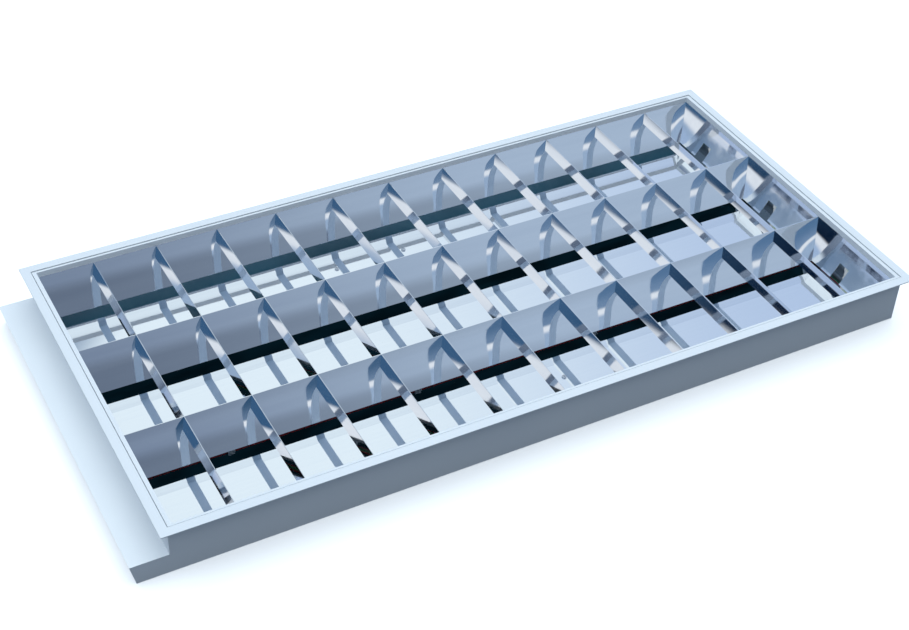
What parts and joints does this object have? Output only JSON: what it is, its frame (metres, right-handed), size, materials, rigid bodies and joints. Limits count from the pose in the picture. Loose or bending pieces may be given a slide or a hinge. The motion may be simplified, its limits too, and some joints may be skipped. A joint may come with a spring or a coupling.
{
  "type": "recessed troffer light",
  "caption": "Recessed ceiling luminaire with a hinged specular parabolic louvre, mirror base reflectors, tube holders and a gear box along one end.",
  "frame": {"origin": "middle of the base of the whole fitting's box", "axes": "+X along the tubes away from the gear box, +Y towards the hinged long side, +Z out of the louvre towards the room"},
  "size_m": [1.235, 0.595, 0.08],
  "materials": {
    "white_paint": "semi-gloss powder coat",
    "louvre_mirror": "specular anodised",
    "base_mirror": "specular anodised, slightly wavy",
    "bracket_steel": "zinc plated, dull",
    "bright_steel": "bright zinc",
    "spring_steel": "plain",
    "holder_plastic": "white",
    "rotor_plastic": "green",
    "ballast_case": "satin",
    "terminal_plastic": "light grey",
    "clip_plastic": "natural nylon",
    "bush_rubber": "black",
    "wire_red": "PVC",
    "wire_green": "PVC",
    "wire_grey": "PVC",
    "wire_blue": "PVC",
    "wire_mains": "PVC"
  },
  "bodies": {
    "housing": {"ballast": "ballast_case", "ballast_terminals": "terminal_plastic", "base_reflector_back": "base_mirror", "base_reflector_front": "base_mirror", "base_reflector_middle": "base_mirror", "base_screws": "bright_steel", "cable_bush": "bush_rubber", "end_plate_left": "white_paint", "end_plate_right": "white_paint", "gear_box_cover": "white_paint", "hinge_pins": "bright_steel", "holder_bracket_left": "bracket_steel", "holder_bracket_right": "bracket_steel", "housing_tray": "white_paint", "lampholder_back_left": "holder_plastic", "lampholder_back_right": "holder_plastic", "lampholder_front_left": "holder_plastic", "lampholder_front_right": "holder_plastic", "lampholder_middle_left": "holder_plastic", "lampholder_middle_right": "holder_plastic", "mains_wires": "wire_mains", "panel_studs": "bracket_steel", "stud_nuts": "bright_steel", "terminal_block": "terminal_plastic", "terminal_screws": "bright_steel", "wire_clips": "clip_plastic", "wires_blue": "wire_blue", "wires_green": "wire_green", "wires_grey": "wire_grey", "wires_red": "wire_red"},
    "louvre": {"border_reflector_back": "louvre_mirror", "border_reflector_front": "louvre_mirror", "cross_blade_01": "louvre_mirror", "cross_blade_02": "louvre_mirror", "cross_blade_03": "louvre_mirror", "cross_blade_04": "louvre_mirror", "cross_blade_05": "louvre_mirror", "cross_blade_06": "louvre_mirror", "cross_blade_07": "louvre_mirror", "cross_blade_08": "louvre_mirror", "cross_blade_09": "louvre_mirror", "cross_blade_10": "louvre_mirror", "cross_blade_11": "louvre_mirror", "end_reflectors_left": "louvre_mirror", "end_reflectors_right": "louvre_mirror", "hinge_bushes": "clip_plastic", "louvre_rail_back": "white_paint", "louvre_rail_front": "white_paint", "louvre_rail_left": "white_paint", "louvre_rail_right": "white_paint", "ridge_reflector_back": "louvre_mirror", "ridge_reflector_front": "louvre_mirror", "snap_springs": "spring_steel"},
    "rotor_front_left": {"rotor_front_left": "rotor_plastic"},
    "rotor_front_right": {"rotor_front_right": "rotor_plastic"},
    "rotor_middle_left": {"rotor_middle_left": "rotor_plastic"},
    "rotor_middle_right": {"rotor_middle_right": "rotor_plastic"},
    "rotor_back_left": {"rotor_back_left": "rotor_plastic"},
    "rotor_back_right": {"rotor_back_right": "rotor_plastic"}
  },
  "joints": [
    {"name": "louvre_hinge", "type": "hinge", "parent": "housing", "child": "louvre", "pos_m": [0.02, 0.2804, 0.0769], "axis": [-1, 0, 0], "range_deg": [0, 95]},
    {"name": "rotor_front_left_turn", "type": "hinge", "parent": "housing", "child": "rotor_front_left", "pos_m": [-0.5565, -0.18635, 0.027], "axis": [1, 0, 0], "range_deg": [0, 90]},
    {"name": "rotor_front_right_turn", "type": "hinge", "parent": "housing", "child": "rotor_front_right", "pos_m": [0.5965, -0.18635, 0.027], "axis": [1, 0, 0], "range_deg": [0, 90]},
    {"name": "rotor_middle_left_turn", "type": "hinge", "parent": "housing", "child": "rotor_middle_left", "pos_m": [-0.5565, 0, 0.027], "axis": [1, 0, 0], "range_deg": [0, 90]},
    {"name": "rotor_middle_right_turn", "type": "hinge", "parent": "housing", "child": "rotor_middle_right", "pos_m": [0.5965, 0, 0.027], "axis": [1, 0, 0], "range_deg": [0, 90]},
    {"name": "rotor_back_left_turn", "type": "hinge", "parent": "housing", "child": "rotor_back_left", "pos_m": [-0.5565, 0.18635, 0.027], "axis": [1, 0, 0], "range_deg": [0, 90]},
    {"name": "rotor_back_right_turn", "type": "hinge", "parent": "housing", "child": "rotor_back_right", "pos_m": [0.5965, 0.18635, 0.027], "axis": [1, 0, 0], "range_deg": [0, 90]}
  ]
}
